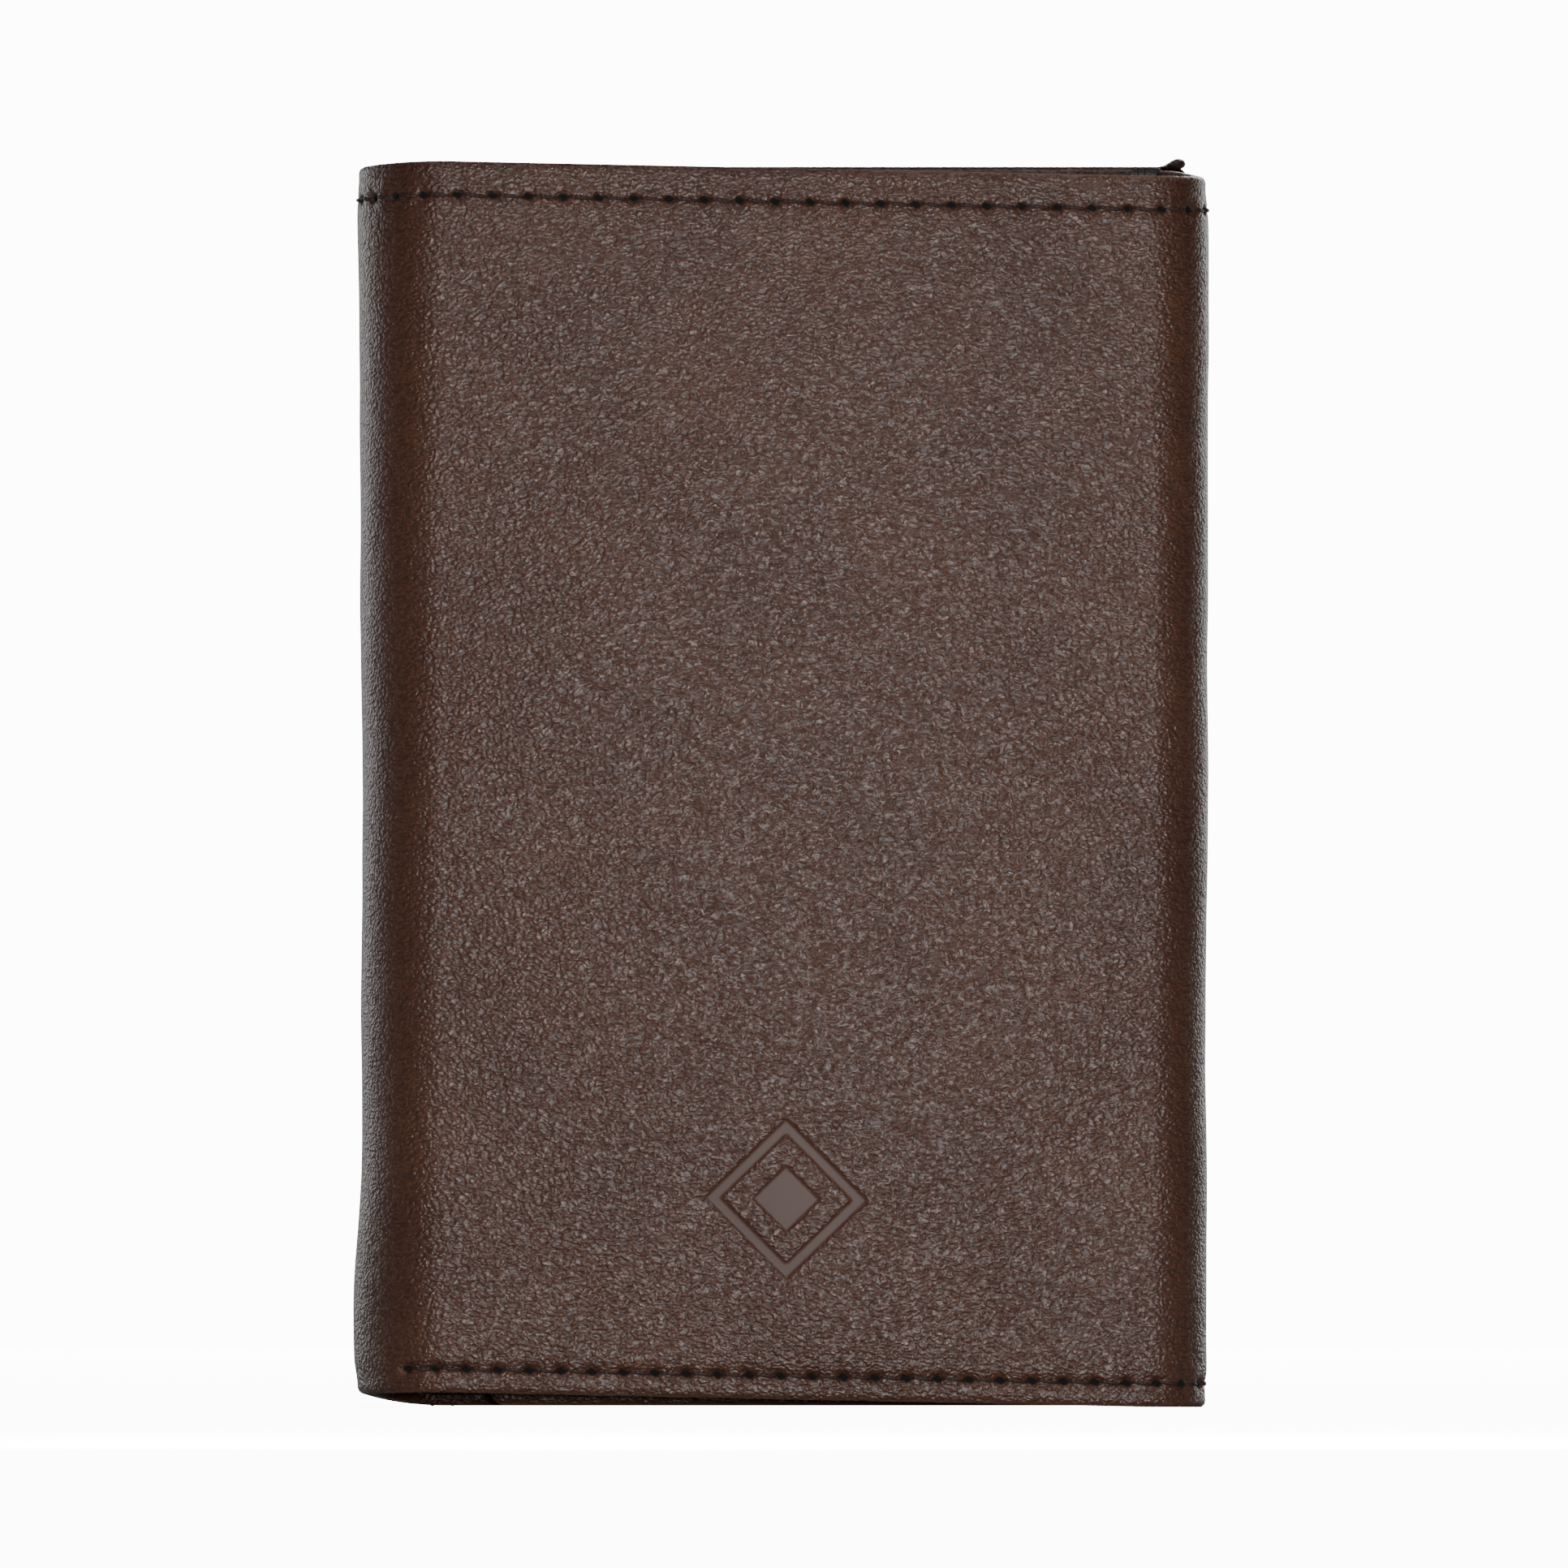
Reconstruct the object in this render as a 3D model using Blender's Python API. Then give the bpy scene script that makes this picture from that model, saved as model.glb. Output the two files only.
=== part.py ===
"""Trifold wallet, closed and standing upright.

The outer face of the middle panel looks towards -Y, the height runs along +Z and the large fold is at -X.
The large (outer) fold carries the flap, which closes last and lies furthest back. The small (inner) fold
carries the inner panel, which lies between the middle panel and the flap. Each fold turns about two
upright axes, one where it leaves each panel.
"""
import math

import bmesh
import bpy
from mathutils import Matrix, Vector

# Overall sizes, in metres
CLOSED_WIDTH = 0.0750
HEIGHT = 0.1103
OUTER_FOLD_REACH = 0.0075
INNER_FOLD_REACH = 0.0053
FLAP_EDGE_SETBACK = 0.0017
INNER_EDGE_SETBACK = 0.0040

# Thickness of each layer
LEATHER = 0.0012
STIFFENER = 0.0004
LINING = 0.0003
BACKING = 0.0005
FILM = 0.00025
WINDOW_FRAME = 0.0011
POCKET = 0.0006
POCKETS_PER_PANEL = 3

# Spaces between layers
CLEARANCE = 0.0003
BILL_SPACE = 0.0006
MIDDLE_TO_INNER = 0.0006
INNER_TO_FLAP = 0.0015

# Sewing
THREAD_RADIUS = 0.0002
THREAD_SINK = 0.00005
SEAM_INSET_TOP = 0.00305
SEAM_INSET_BOTTOM = 0.00215
SEAM_INSET_SIDE = 0.0025
SEAM_CORNER_RADIUS = 0.0015

# Outlines
PANEL_CORNER_RADIUS = 0.0030
STIFFENER_MARGIN = 0.0060
LINING_MARGIN = 0.0010
POCKET_SIDE_MARGIN = 0.0012
POCKET_BOTTOM = 0.0012
FIRST_POCKET_DROP = 0.0150
POCKET_STEP = 0.0160
POCKET_DIP = 0.0020
FRAME_DROP = 0.0080
FRAME_BORDER = 0.0062
WINDOW_CORNER_RADIUS = 0.0040
FILM_LAP = 0.0030

FOLD_SEGMENTS = 28
CORNER_SEGMENTS = 5
DIP_SEGMENTS = 12
WELD_DISTANCE = 0.000001

# Depths below an outer leather face at which each layer starts
STIFFENER_DEPTH = LEATHER + CLEARANCE
LINING_DEPTH = STIFFENER_DEPTH + STIFFENER + CLEARANCE
BACKING_DEPTH = LINING_DEPTH + LINING + BILL_SPACE
FITTINGS_DEPTH = BACKING_DEPTH + BACKING + CLEARANCE

MIDDLE_THICKNESS = FITTINGS_DEPTH + FILM + CLEARANCE + WINDOW_FRAME
POCKET_PITCH = POCKET + CLEARANCE
SIDE_THICKNESS = FITTINGS_DEPTH + POCKETS_PER_PANEL * POCKET_PITCH - CLEARANCE
INNER_STACK = MIDDLE_THICKNESS + MIDDLE_TO_INNER + SIDE_THICKNESS
CLOSED_THICKNESS = INNER_STACK + INNER_TO_FLAP + SIDE_THICKNESS

# Faces of the closed wallet
FRONT_Y = -CLOSED_THICKNESS / 2
INNER_BACK_Y = FRONT_Y + INNER_STACK
BACK_Y = CLOSED_THICKNESS / 2
FLAT_LEFT = -CLOSED_WIDTH / 2 + OUTER_FOLD_REACH
FLAT_RIGHT = CLOSED_WIDTH / 2 - INNER_FOLD_REACH
FLAP_EDGE = CLOSED_WIDTH / 2 - FLAP_EDGE_SETBACK
INNER_EDGE = FLAT_LEFT + INNER_EDGE_SETBACK

THREAD_DEPTH = THREAD_RADIUS + THREAD_SINK
SEAM_TOP = HEIGHT - SEAM_INSET_TOP
SEAM_BOTTOM = SEAM_INSET_BOTTOM

# Finishes: sRGB-like colour, roughness, metallic
LEATHER_FINISH = ((0.075, 0.045, 0.033), 0.50, 0.0)
POCKET_FINISH = ((0.060, 0.037, 0.028), 0.55, 0.0)
BOARD_FINISH = ((0.30, 0.26, 0.21), 0.90, 0.0)
LINING_FINISH = ((0.030, 0.024, 0.021), 0.80, 0.0)
FILM_FINISH = ((0.80, 0.82, 0.84), 0.10, 0.0)
THREAD_FINISH = ((0.022, 0.013, 0.011), 0.65, 0.0)


def clear_scene():
    for obj in list(bpy.data.objects):
        bpy.data.objects.remove(obj, do_unlink=True)


def make_collection(name):
    collection = bpy.data.collections.new(name)
    bpy.context.scene.collection.children.link(collection)
    return collection


def quarter_length(reach, rise):
    """Length of a quarter of an ellipse with the two half axes given."""
    steps = 400
    total = 0.0
    for step in range(steps):
        angle = (step + 0.5) * math.pi / 2 / steps
        total += math.hypot(reach * math.sin(angle), rise * math.cos(angle)) * math.pi / 2 / steps
    return total


def fold_pivots(reach, front_y, back_y, flat_x, side):
    """Two upright axes about which a fold opens flat and keeps its leather's length."""
    rise = (back_y - front_y) / 2
    quarter = quarter_length(reach, rise)
    outward = (reach - rise + quarter) / 2
    inward = (reach + rise - quarter) / 2
    pivot_x = flat_x + side * outward
    return Vector((pivot_x, front_y + inward, 0.0)), Vector((pivot_x, back_y - inward, 0.0))


def make_pivot(name, position, parent_name=None):
    """An empty on a joint's axis, hung on the empty of the fold before it."""
    pivot = bpy.data.objects.new(name, None)
    pivot.empty_display_size = 0.01
    parts.objects.link(pivot)
    pivot_positions[name] = position
    pivot.location = position
    if parent_name:
        pivot.parent = bpy.data.objects[parent_name]
        pivot.location = position - pivot_positions[parent_name]
    return pivot


def attach(obj, pivot_name):
    if pivot_name is None:
        return
    obj.parent = bpy.data.objects[pivot_name]
    obj.matrix_parent_inverse = Matrix.Translation(-pivot_positions[pivot_name])


def make_material(name, finish):
    colour, roughness, metallic = finish
    material = bpy.data.materials.new(name)
    material.use_nodes = True
    shader = material.node_tree.nodes["Principled BSDF"]
    shader.inputs["Base Color"].default_value = (*colour, 1.0)
    shader.inputs["Roughness"].default_value = roughness
    shader.inputs["Metallic"].default_value = metallic
    return material


def mesh_from_curve(curve, name, matrix, collection):
    """Turn a curve into a closed mesh object, with its caps welded on."""
    source = bpy.data.objects.new(name + "_curve", curve)
    source.matrix_world = matrix
    collection.objects.link(source)
    bpy.context.view_layer.update()
    depsgraph = bpy.context.evaluated_depsgraph_get()
    mesh = bpy.data.meshes.new_from_object(source.evaluated_get(depsgraph))
    shape = bmesh.new()
    shape.from_mesh(mesh)
    bmesh.ops.remove_doubles(shape, verts=shape.verts, dist=WELD_DISTANCE)
    bmesh.ops.recalc_face_normals(shape, faces=shape.faces)
    shape.to_mesh(mesh)
    shape.free()
    mesh.name = name
    obj = bpy.data.objects.new(name, mesh)
    obj.matrix_world = source.matrix_world
    collection.objects.link(obj)
    bpy.data.objects.remove(source, do_unlink=True)
    return obj


def finish_piece(obj, finish, pivot_name):
    obj.data.materials.clear()
    obj.data.materials.append(make_material(obj.name + "_finish", finish))
    attach(obj, pivot_name)
    return obj


def flat_curve(name, outlines, thickness):
    curve = bpy.data.curves.new(name, "CURVE")
    curve.dimensions = "2D"
    curve.fill_mode = "BOTH"
    curve.extrude = thickness / 2
    for outline in outlines:
        spline = curve.splines.new("POLY")
        spline.points.add(len(outline) - 1)
        for point, (across, along) in zip(spline.points, outline):
            point.co = (across, along, 0.0, 1.0)
        spline.use_cyclic_u = True
    return curve


def make_panel(name, outlines, near_y, far_y, finish, pivot_name=None):
    """A flat piece standing in the XZ plane between two depths."""
    curve = flat_curve(name, outlines, far_y - near_y)
    upright = Matrix.Translation((0.0, (near_y + far_y) / 2, 0.0)) @ Matrix.Rotation(math.pi / 2, 4, "X")
    obj = mesh_from_curve(curve, name, upright, parts)
    return finish_piece(obj, finish, pivot_name)


def corner_arc(centre_x, centre_z, radius, start):
    points = []
    for step in range(CORNER_SEGMENTS + 1):
        angle = start + step * math.pi / 2 / CORNER_SEGMENTS
        points.append((centre_x + radius * math.cos(angle), centre_z + radius * math.sin(angle)))
    return points


def rectangle(left, right, bottom, top, left_radius=0.0, right_radius=0.0):
    """Outline with its own corner radius on each side, run anticlockwise."""
    corners = (
        (right, bottom, right_radius, -1, 1, -math.pi / 2),
        (right, top, right_radius, -1, -1, 0.0),
        (left, top, left_radius, 1, -1, math.pi / 2),
        (left, bottom, left_radius, 1, 1, math.pi),
    )
    outline = []
    for x, z, radius, inward_x, inward_z, start in corners:
        if radius > 0.0:
            outline += corner_arc(x + inward_x * radius, z + inward_z * radius, radius, start)
        else:
            outline.append((x, z))
    return outline


def dipped_outline(left, right, bottom, top):
    """A card pocket: its mouth dips in one shallow curve."""
    outline = [(left, bottom), (right, bottom)]
    for step in range(DIP_SEGMENTS + 1):
        share = step / DIP_SEGMENTS
        dip = POCKET_DIP * math.sin(math.pi * share) ** 2
        outline.append((right + (left - right) * share, top - dip))
    return outline


def fold_arc(flat_x, side, reach, front_y, back_y, depth):
    """Half ellipse at a depth below the leather's outer face, run from front to back."""
    middle_y = (front_y + back_y) / 2
    rise = (back_y - front_y) / 2 - depth
    points = []
    for step in range(FOLD_SEGMENTS + 1):
        angle = step * math.pi / FOLD_SEGMENTS
        across = flat_x + side * (reach - depth) * math.sin(angle)
        points.append((across, middle_y - rise * math.cos(angle)))
    return points


def make_fold_layer(name, fold, depth, thickness, finish, pivot_name):
    """One layer of a fold, a bent sheet of constant section over the whole height."""
    outer = fold_arc(*fold, depth)
    inner = fold_arc(*fold, depth + thickness)
    outline = outer + inner[::-1]
    curve = flat_curve(name, [outline], HEIGHT)
    raised = Matrix.Translation((0.0, 0.0, HEIGHT / 2))
    obj = mesh_from_curve(curve, name, raised, parts)
    return finish_piece(obj, finish, pivot_name)


def thread_tube(name, points, radius, resolution, collection):
    curve = bpy.data.curves.new(name, "CURVE")
    curve.dimensions = "3D"
    curve.bevel_depth = radius
    curve.bevel_resolution = resolution
    curve.use_fill_caps = True
    spline = curve.splines.new("POLY")
    spline.points.add(len(points) - 1)
    for point, place in zip(spline.points, points):
        point.co = (*place, 1.0)
    return mesh_from_curve(curve, name, Matrix.Identity(4), collection)


def lengthened(points, extra):
    """The same path carried on past both of its ends."""
    first = Vector(points[0])
    last = Vector(points[-1])
    before = first + (first - Vector(points[1])).normalized() * extra
    after = last + (last - Vector(points[-2])).normalized() * extra
    return [before] + [Vector(point) for point in points] + [after]


def sew(name, points, leather, pivot_name=None):
    """Lay one thread along a path and cut its channel in the leather."""
    thread = thread_tube(name, points, THREAD_RADIUS, 1, parts)
    finish_piece(thread, THREAD_FINISH, pivot_name)
    channel_points = lengthened(points, 2 * CLEARANCE + THREAD_RADIUS)
    channel = thread_tube(name + "_channel", channel_points, THREAD_RADIUS + CLEARANCE, 2, cutters)
    channel.hide_render = True
    channel.display_type = "WIRE"
    cut = leather.modifiers.new(name + "_channel", "BOOLEAN")
    cut.operation = "DIFFERENCE"
    cut.object = channel
    return thread


def panel_seam_path(fold_x, edge_x, thread_y):
    """A seam that leaves a fold, rounds both free corners of a panel and comes back below."""
    side = 1 if edge_x > fold_x else -1
    start_x = fold_x + side * CLEARANCE / 2
    seam_x = edge_x - side * SEAM_INSET_SIDE
    corner_x = seam_x - side * SEAM_CORNER_RADIUS
    path = [(start_x, thread_y, SEAM_TOP)]
    for centre_z, first_turn in ((SEAM_TOP - SEAM_CORNER_RADIUS, 1), (SEAM_BOTTOM + SEAM_CORNER_RADIUS, 0)):
        for step in range(CORNER_SEGMENTS + 1):
            turn = step * math.pi / 2 / CORNER_SEGMENTS
            angle = math.pi / 2 - turn if first_turn else -turn
            x = corner_x + side * SEAM_CORNER_RADIUS * math.cos(angle)
            path.append((x, thread_y, centre_z + SEAM_CORNER_RADIUS * math.sin(angle)))
    path.append((start_x, thread_y, SEAM_BOTTOM))
    return path


def fold_seam_path(fold, height):
    flat_x, side = fold[0], fold[1]
    arc = fold_arc(*fold, THREAD_DEPTH)
    path = [(x, y, height) for x, y in arc]
    path[0] = (flat_x + side * CLEARANCE / 2, path[0][1], height)
    path[-1] = (flat_x + side * CLEARANCE / 2, path[-1][1], height)
    return path


def build_middle():
    """The middle panel: leather in front, then board, lining, bill space, backing and ID window."""
    gap = CLEARANCE / 2
    left = FLAT_LEFT + gap
    right = FLAT_RIGHT - gap
    whole = rectangle(left, right, 0.0, HEIGHT)
    leather = make_panel("shell_middle", [whole], FRONT_Y, FRONT_Y + LEATHER, LEATHER_FINISH)
    board = rectangle(left + STIFFENER_MARGIN, right - STIFFENER_MARGIN, STIFFENER_MARGIN,
                      HEIGHT - STIFFENER_MARGIN)
    board_y = FRONT_Y + STIFFENER_DEPTH
    make_panel("stiffener_middle", [board], board_y, board_y + STIFFENER, BOARD_FINISH)
    cloth = rectangle(left, right, LINING_MARGIN, HEIGHT - LINING_MARGIN)
    lining_y = FRONT_Y + LINING_DEPTH
    make_panel("lining_middle", [cloth], lining_y, lining_y + LINING, LINING_FINISH)
    backing_y = FRONT_Y + BACKING_DEPTH
    make_panel("backing_middle", [cloth], backing_y, backing_y + BACKING, POCKET_FINISH)
    build_id_window(left, right)
    for name, height in (("seam_top_middle", SEAM_TOP), ("seam_bottom_middle", SEAM_BOTTOM)):
        thread_y = FRONT_Y + THREAD_DEPTH
        sew(name, [(left, thread_y, height), (right, thread_y, height)], leather)


def build_id_window(left, right):
    """A clear film held behind a leather frame on the middle panel's inner face."""
    top = HEIGHT - FRAME_DROP
    frame_left = left + POCKET_SIDE_MARGIN
    frame_right = right - POCKET_SIDE_MARGIN
    outer = rectangle(frame_left, frame_right, POCKET_BOTTOM, top)
    window = (frame_left + FRAME_BORDER, frame_right - FRAME_BORDER, POCKET_BOTTOM + FRAME_BORDER,
              top - FRAME_BORDER)
    opening = rectangle(*window, WINDOW_CORNER_RADIUS, WINDOW_CORNER_RADIUS)
    film = rectangle(window[0] - FILM_LAP, window[1] + FILM_LAP, window[2] - FILM_LAP, window[3] + FILM_LAP)
    film_y = FRONT_Y + FITTINGS_DEPTH
    make_panel("id_window_film", [film], film_y, film_y + FILM, FILM_FINISH)
    frame_y = film_y + FILM + CLEARANCE
    frame = make_panel("id_window_frame", [outer, opening], frame_y, frame_y + WINDOW_FRAME, POCKET_FINISH)
    build_id_frame_seam(frame_left, frame_right, top, frame_y + WINDOW_FRAME, frame)


def build_id_frame_seam(frame_left, frame_right, frame_top, face_y, frame):
    """Sides and bottom of the ID frame are sewn down and its top stays open for the card."""
    inset = SEAM_INSET_SIDE
    thread_y = face_y - THREAD_DEPTH
    low = POCKET_BOTTOM + inset
    high = frame_top - inset
    path = [(frame_left + inset, thread_y, high), (frame_left + inset, thread_y, low),
            (frame_right - inset, thread_y, low), (frame_right - inset, thread_y, high)]
    sew("id_frame_seam", path, frame)


def build_side_panel(label, fold_x, edge_x, outer_y, seam_name, pivot_name):
    """A panel that turns on a fold: leather behind, then board, lining, backing and card pockets."""
    side = 1 if edge_x > fold_x else -1
    start_x = fold_x + side * CLEARANCE / 2
    left, right = min(start_x, edge_x), max(start_x, edge_x)
    left_radius = PANEL_CORNER_RADIUS if side < 0 else 0.0
    right_radius = PANEL_CORNER_RADIUS if side > 0 else 0.0
    whole = rectangle(left, right, 0.0, HEIGHT, left_radius, right_radius)
    leather = make_panel("shell_" + label, [whole], outer_y - LEATHER, outer_y, LEATHER_FINISH, pivot_name)

    board = rectangle(left + STIFFENER_MARGIN, right - STIFFENER_MARGIN, STIFFENER_MARGIN,
                      HEIGHT - STIFFENER_MARGIN)
    board_y = outer_y - STIFFENER_DEPTH
    make_panel("stiffener_" + label, [board], board_y - STIFFENER, board_y, BOARD_FINISH, pivot_name)

    cloth_edge = edge_x - side * LINING_MARGIN
    cloth = rectangle(min(start_x, cloth_edge), max(start_x, cloth_edge), LINING_MARGIN,
                      HEIGHT - LINING_MARGIN, left_radius, right_radius)
    lining_y = outer_y - LINING_DEPTH
    make_panel("lining_" + label, [cloth], lining_y - LINING, lining_y, LINING_FINISH, pivot_name)
    backing_y = outer_y - BACKING_DEPTH
    make_panel("backing_" + label, [cloth], backing_y - BACKING, backing_y, POCKET_FINISH, pivot_name)

    for number in range(POCKETS_PER_PANEL):
        top = HEIGHT - FIRST_POCKET_DROP - number * POCKET_STEP
        mouth = dipped_outline(left + POCKET_SIDE_MARGIN, right - POCKET_SIDE_MARGIN, POCKET_BOTTOM, top)
        pocket_y = outer_y - FITTINGS_DEPTH - number * POCKET_PITCH
        make_panel(f"{label}_card_pocket_{number + 1}", [mouth], pocket_y - POCKET, pocket_y,
                   POCKET_FINISH, pivot_name)
    sew(seam_name, panel_seam_path(fold_x, edge_x, outer_y - THREAD_DEPTH), leather, pivot_name)


def build_fold(label, fold, seams, pivot_name):
    """The bent leather of a fold with the lining and the backing inside it."""
    leather = make_fold_layer(label + "_fold_leather", fold, 0.0, LEATHER, LEATHER_FINISH, pivot_name)
    make_fold_layer(label + "_fold_lining", fold, LINING_DEPTH, LINING, LINING_FINISH, pivot_name)
    make_fold_layer(label + "_fold_backing", fold, BACKING_DEPTH, BACKING, POCKET_FINISH, pivot_name)
    for name, height in seams:
        sew(name, fold_seam_path(fold, height), leather, pivot_name)


clear_scene()
parts = make_collection("trifold_wallet")
cutters = make_collection("cutters")
pivot_positions = {}

OUTER_FOLD = (FLAT_LEFT, -1, OUTER_FOLD_REACH, FRONT_Y, BACK_Y)
INNER_FOLD = (FLAT_RIGHT, 1, INNER_FOLD_REACH, FRONT_Y, INNER_BACK_Y)
outer_front, outer_back = fold_pivots(OUTER_FOLD_REACH, FRONT_Y, BACK_Y, FLAT_LEFT, -1)
inner_front, inner_back = fold_pivots(INNER_FOLD_REACH, FRONT_Y, INNER_BACK_Y, FLAT_RIGHT, 1)
make_pivot("outer_spine_axis", outer_front)
make_pivot("flap_axis", outer_back, "outer_spine_axis")
make_pivot("inner_spine_axis", inner_front)
make_pivot("inner_panel_axis", inner_back, "inner_spine_axis")

build_middle()
build_fold("outer", OUTER_FOLD, [("outer_fold_seam_top", SEAM_TOP)], "outer_spine_axis")
build_side_panel("flap", FLAT_LEFT, FLAP_EDGE, BACK_Y, "seam_flap", "flap_axis")
build_fold("inner", INNER_FOLD, [("inner_fold_seam_top", SEAM_TOP), ("inner_fold_seam_bottom", SEAM_BOTTOM)],
           "inner_spine_axis")
build_side_panel("inner", FLAT_RIGHT, INNER_EDGE, INNER_BACK_Y, "seam_inner", "inner_panel_axis")
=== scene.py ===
import math

import bmesh
import bpy
import numpy as np
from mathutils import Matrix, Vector


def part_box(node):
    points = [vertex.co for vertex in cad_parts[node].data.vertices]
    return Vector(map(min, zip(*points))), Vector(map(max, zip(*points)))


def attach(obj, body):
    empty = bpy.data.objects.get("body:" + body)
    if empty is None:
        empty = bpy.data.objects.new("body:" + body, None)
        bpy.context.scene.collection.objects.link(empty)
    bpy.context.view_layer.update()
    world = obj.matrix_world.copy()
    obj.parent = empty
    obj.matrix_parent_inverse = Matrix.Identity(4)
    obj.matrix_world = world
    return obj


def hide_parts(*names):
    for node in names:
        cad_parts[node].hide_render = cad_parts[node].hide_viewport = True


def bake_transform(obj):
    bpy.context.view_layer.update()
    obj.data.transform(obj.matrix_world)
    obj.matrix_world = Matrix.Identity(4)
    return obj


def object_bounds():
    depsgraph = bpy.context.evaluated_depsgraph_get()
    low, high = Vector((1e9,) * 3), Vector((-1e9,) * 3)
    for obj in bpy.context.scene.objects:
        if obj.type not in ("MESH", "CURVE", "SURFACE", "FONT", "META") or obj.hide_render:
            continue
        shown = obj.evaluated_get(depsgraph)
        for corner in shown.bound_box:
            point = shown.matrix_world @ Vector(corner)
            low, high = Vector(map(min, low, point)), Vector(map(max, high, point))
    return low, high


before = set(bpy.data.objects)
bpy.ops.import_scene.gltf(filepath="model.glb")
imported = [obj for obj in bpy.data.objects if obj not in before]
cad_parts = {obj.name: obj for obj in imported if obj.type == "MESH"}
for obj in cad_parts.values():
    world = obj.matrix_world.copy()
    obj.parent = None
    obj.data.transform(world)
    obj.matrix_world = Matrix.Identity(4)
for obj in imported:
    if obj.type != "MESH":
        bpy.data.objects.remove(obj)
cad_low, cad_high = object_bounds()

# ------------------------------------------------------------------ sizes read from the frame
MM = 0.001
HEIGHT = cad_high.z / MM
FRONT = cad_low.y / MM
BACK = cad_high.y / MM


def box_mm(name):
    low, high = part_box(name)
    return [value / MM for value in low], [value / MM for value in high]


SHELL_LOW, SHELL_HIGH = box_mm("shell_middle")
FLAP_LOW, FLAP_HIGH = box_mm("shell_flap")
INNER_LOW, INNER_HIGH = box_mm("shell_inner")
OUTER_FOLD_LOW, OUTER_FOLD_HIGH = box_mm("outer_fold_leather")
INNER_FOLD_LOW, INNER_FOLD_HIGH = box_mm("inner_fold_leather")
LEATHER = SHELL_HIGH[1] - SHELL_LOW[1]
FLAT_LEFT = OUTER_FOLD_HIGH[0]
FLAT_RIGHT = INNER_FOLD_LOW[0]
OUTER_REACH = FLAT_LEFT - OUTER_FOLD_LOW[0]
INNER_REACH = INNER_FOLD_HIGH[0] - FLAT_RIGHT
INNER_BACK = INNER_HIGH[1]
FLAP_EDGE = FLAP_HIGH[0]
INNER_EDGE = INNER_LOW[0]

# ------------------------------------------------------------------ sewing, in millimetres
STITCH = 3.12               # along the top and round the sides, about eight to the inch
LOW_STITCH = 2.78           # along the bottom, about nine to the inch
HOLE_AT = 30.4              # developed place of one hole of the top seam
LOW_SEAM_START = -33.7
TOP_SEAM = HEIGHT - 3.05
BOTTOM_SEAM = 2.15
SIDE_SEAM = 2.5
THREAD = 0.16
STITCH_SLANT = 0.16

# ------------------------------------------------------------------ the wallet's section, laid out flat
class Wrap:
    """The closed wallet seen from above as one strip. A place u runs along the outer leather in
    millimetres, from the flap's free edge through the outer fold, the middle and the inner fold to the
    inner panel's free edge. It is the x of the middle panel where the strip crosses it."""

    def __init__(self):
        self.outer = self.arc_table(OUTER_REACH, (BACK - FRONT) / 2)
        self.inner = self.arc_table(INNER_REACH, (INNER_BACK - FRONT) / 2)
        self.left = FLAT_LEFT
        self.right = FLAT_RIGHT
        self.outer_apex = self.left - self.outer[1][-1] / 2
        self.flap = self.left - self.outer[1][-1]
        self.flap_edge = self.flap - (FLAP_EDGE - FLAT_LEFT)
        self.inner_apex = self.right + self.inner[1][-1] / 2
        self.inner_panel = self.right + self.inner[1][-1]
        self.tip = self.inner_panel + (FLAT_RIGHT - INNER_EDGE)

    @staticmethod
    def arc_table(reach, rise):
        """Angle against arc length for half an ellipse that starts where the flat ends."""
        angle = np.linspace(0.0, math.pi, 721)
        across = reach * np.sin(angle)
        along = rise * np.cos(angle)
        length = np.concatenate([[0.0], np.cumsum(np.hypot(np.diff(across), np.diff(along)))])
        return angle, length

    def fold(self, distance, depth, table, reach, low, high, flat, side):
        angle = np.interp(distance, table[1], table[0])
        x = flat + side * (reach - depth) * np.sin(angle)
        y = (low + high) / 2 - ((high - low) / 2 - depth) * np.cos(angle)
        return x, y

    def place(self, u, depth):
        """x and y of the points at places u, at a depth below the outer face."""
        u, depth = np.broadcast_arrays(np.asarray(u, float), np.asarray(depth, float))
        x = u.copy()
        y = FRONT + depth
        on_fold = (u < self.left) & (u >= self.flap)
        fold_x, fold_y = self.fold(self.left - u, depth, self.outer, OUTER_REACH, FRONT, BACK, FLAT_LEFT, -1)
        x, y = np.where(on_fold, fold_x, x), np.where(on_fold, fold_y, y)
        on_flap = u < self.flap
        x = np.where(on_flap, FLAT_LEFT + (self.flap - u), x)
        y = np.where(on_flap, BACK - depth, y)
        on_fold = (u > self.right) & (u <= self.inner_panel)
        fold_x, fold_y = self.fold(u - self.right, depth, self.inner, INNER_REACH, FRONT, INNER_BACK,
                                   FLAT_RIGHT, 1)
        x, y = np.where(on_fold, fold_x, x), np.where(on_fold, fold_y, y)
        on_panel = u > self.inner_panel
        x = np.where(on_panel, FLAT_RIGHT - (u - self.inner_panel), x)
        y = np.where(on_panel, INNER_BACK - depth, y)
        return x, y


wrap = Wrap()

# How the top and bottom edges of the outer leather drift from level, as (place, top, bottom) in mm.
EDGE_DRIFT = (
    (wrap.flap_edge, -0.3, 0.0), (wrap.flap, -0.3, 0.0), (wrap.outer_apex, -0.4, 1.1),
    (wrap.left, 0.05, 1.35), (wrap.right, -1.25, 0.05), (wrap.inner_apex, -1.3, 0.0),
    (wrap.inner_panel, -0.65, 0.15), (wrap.tip, -0.6, 0.15),
)


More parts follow.
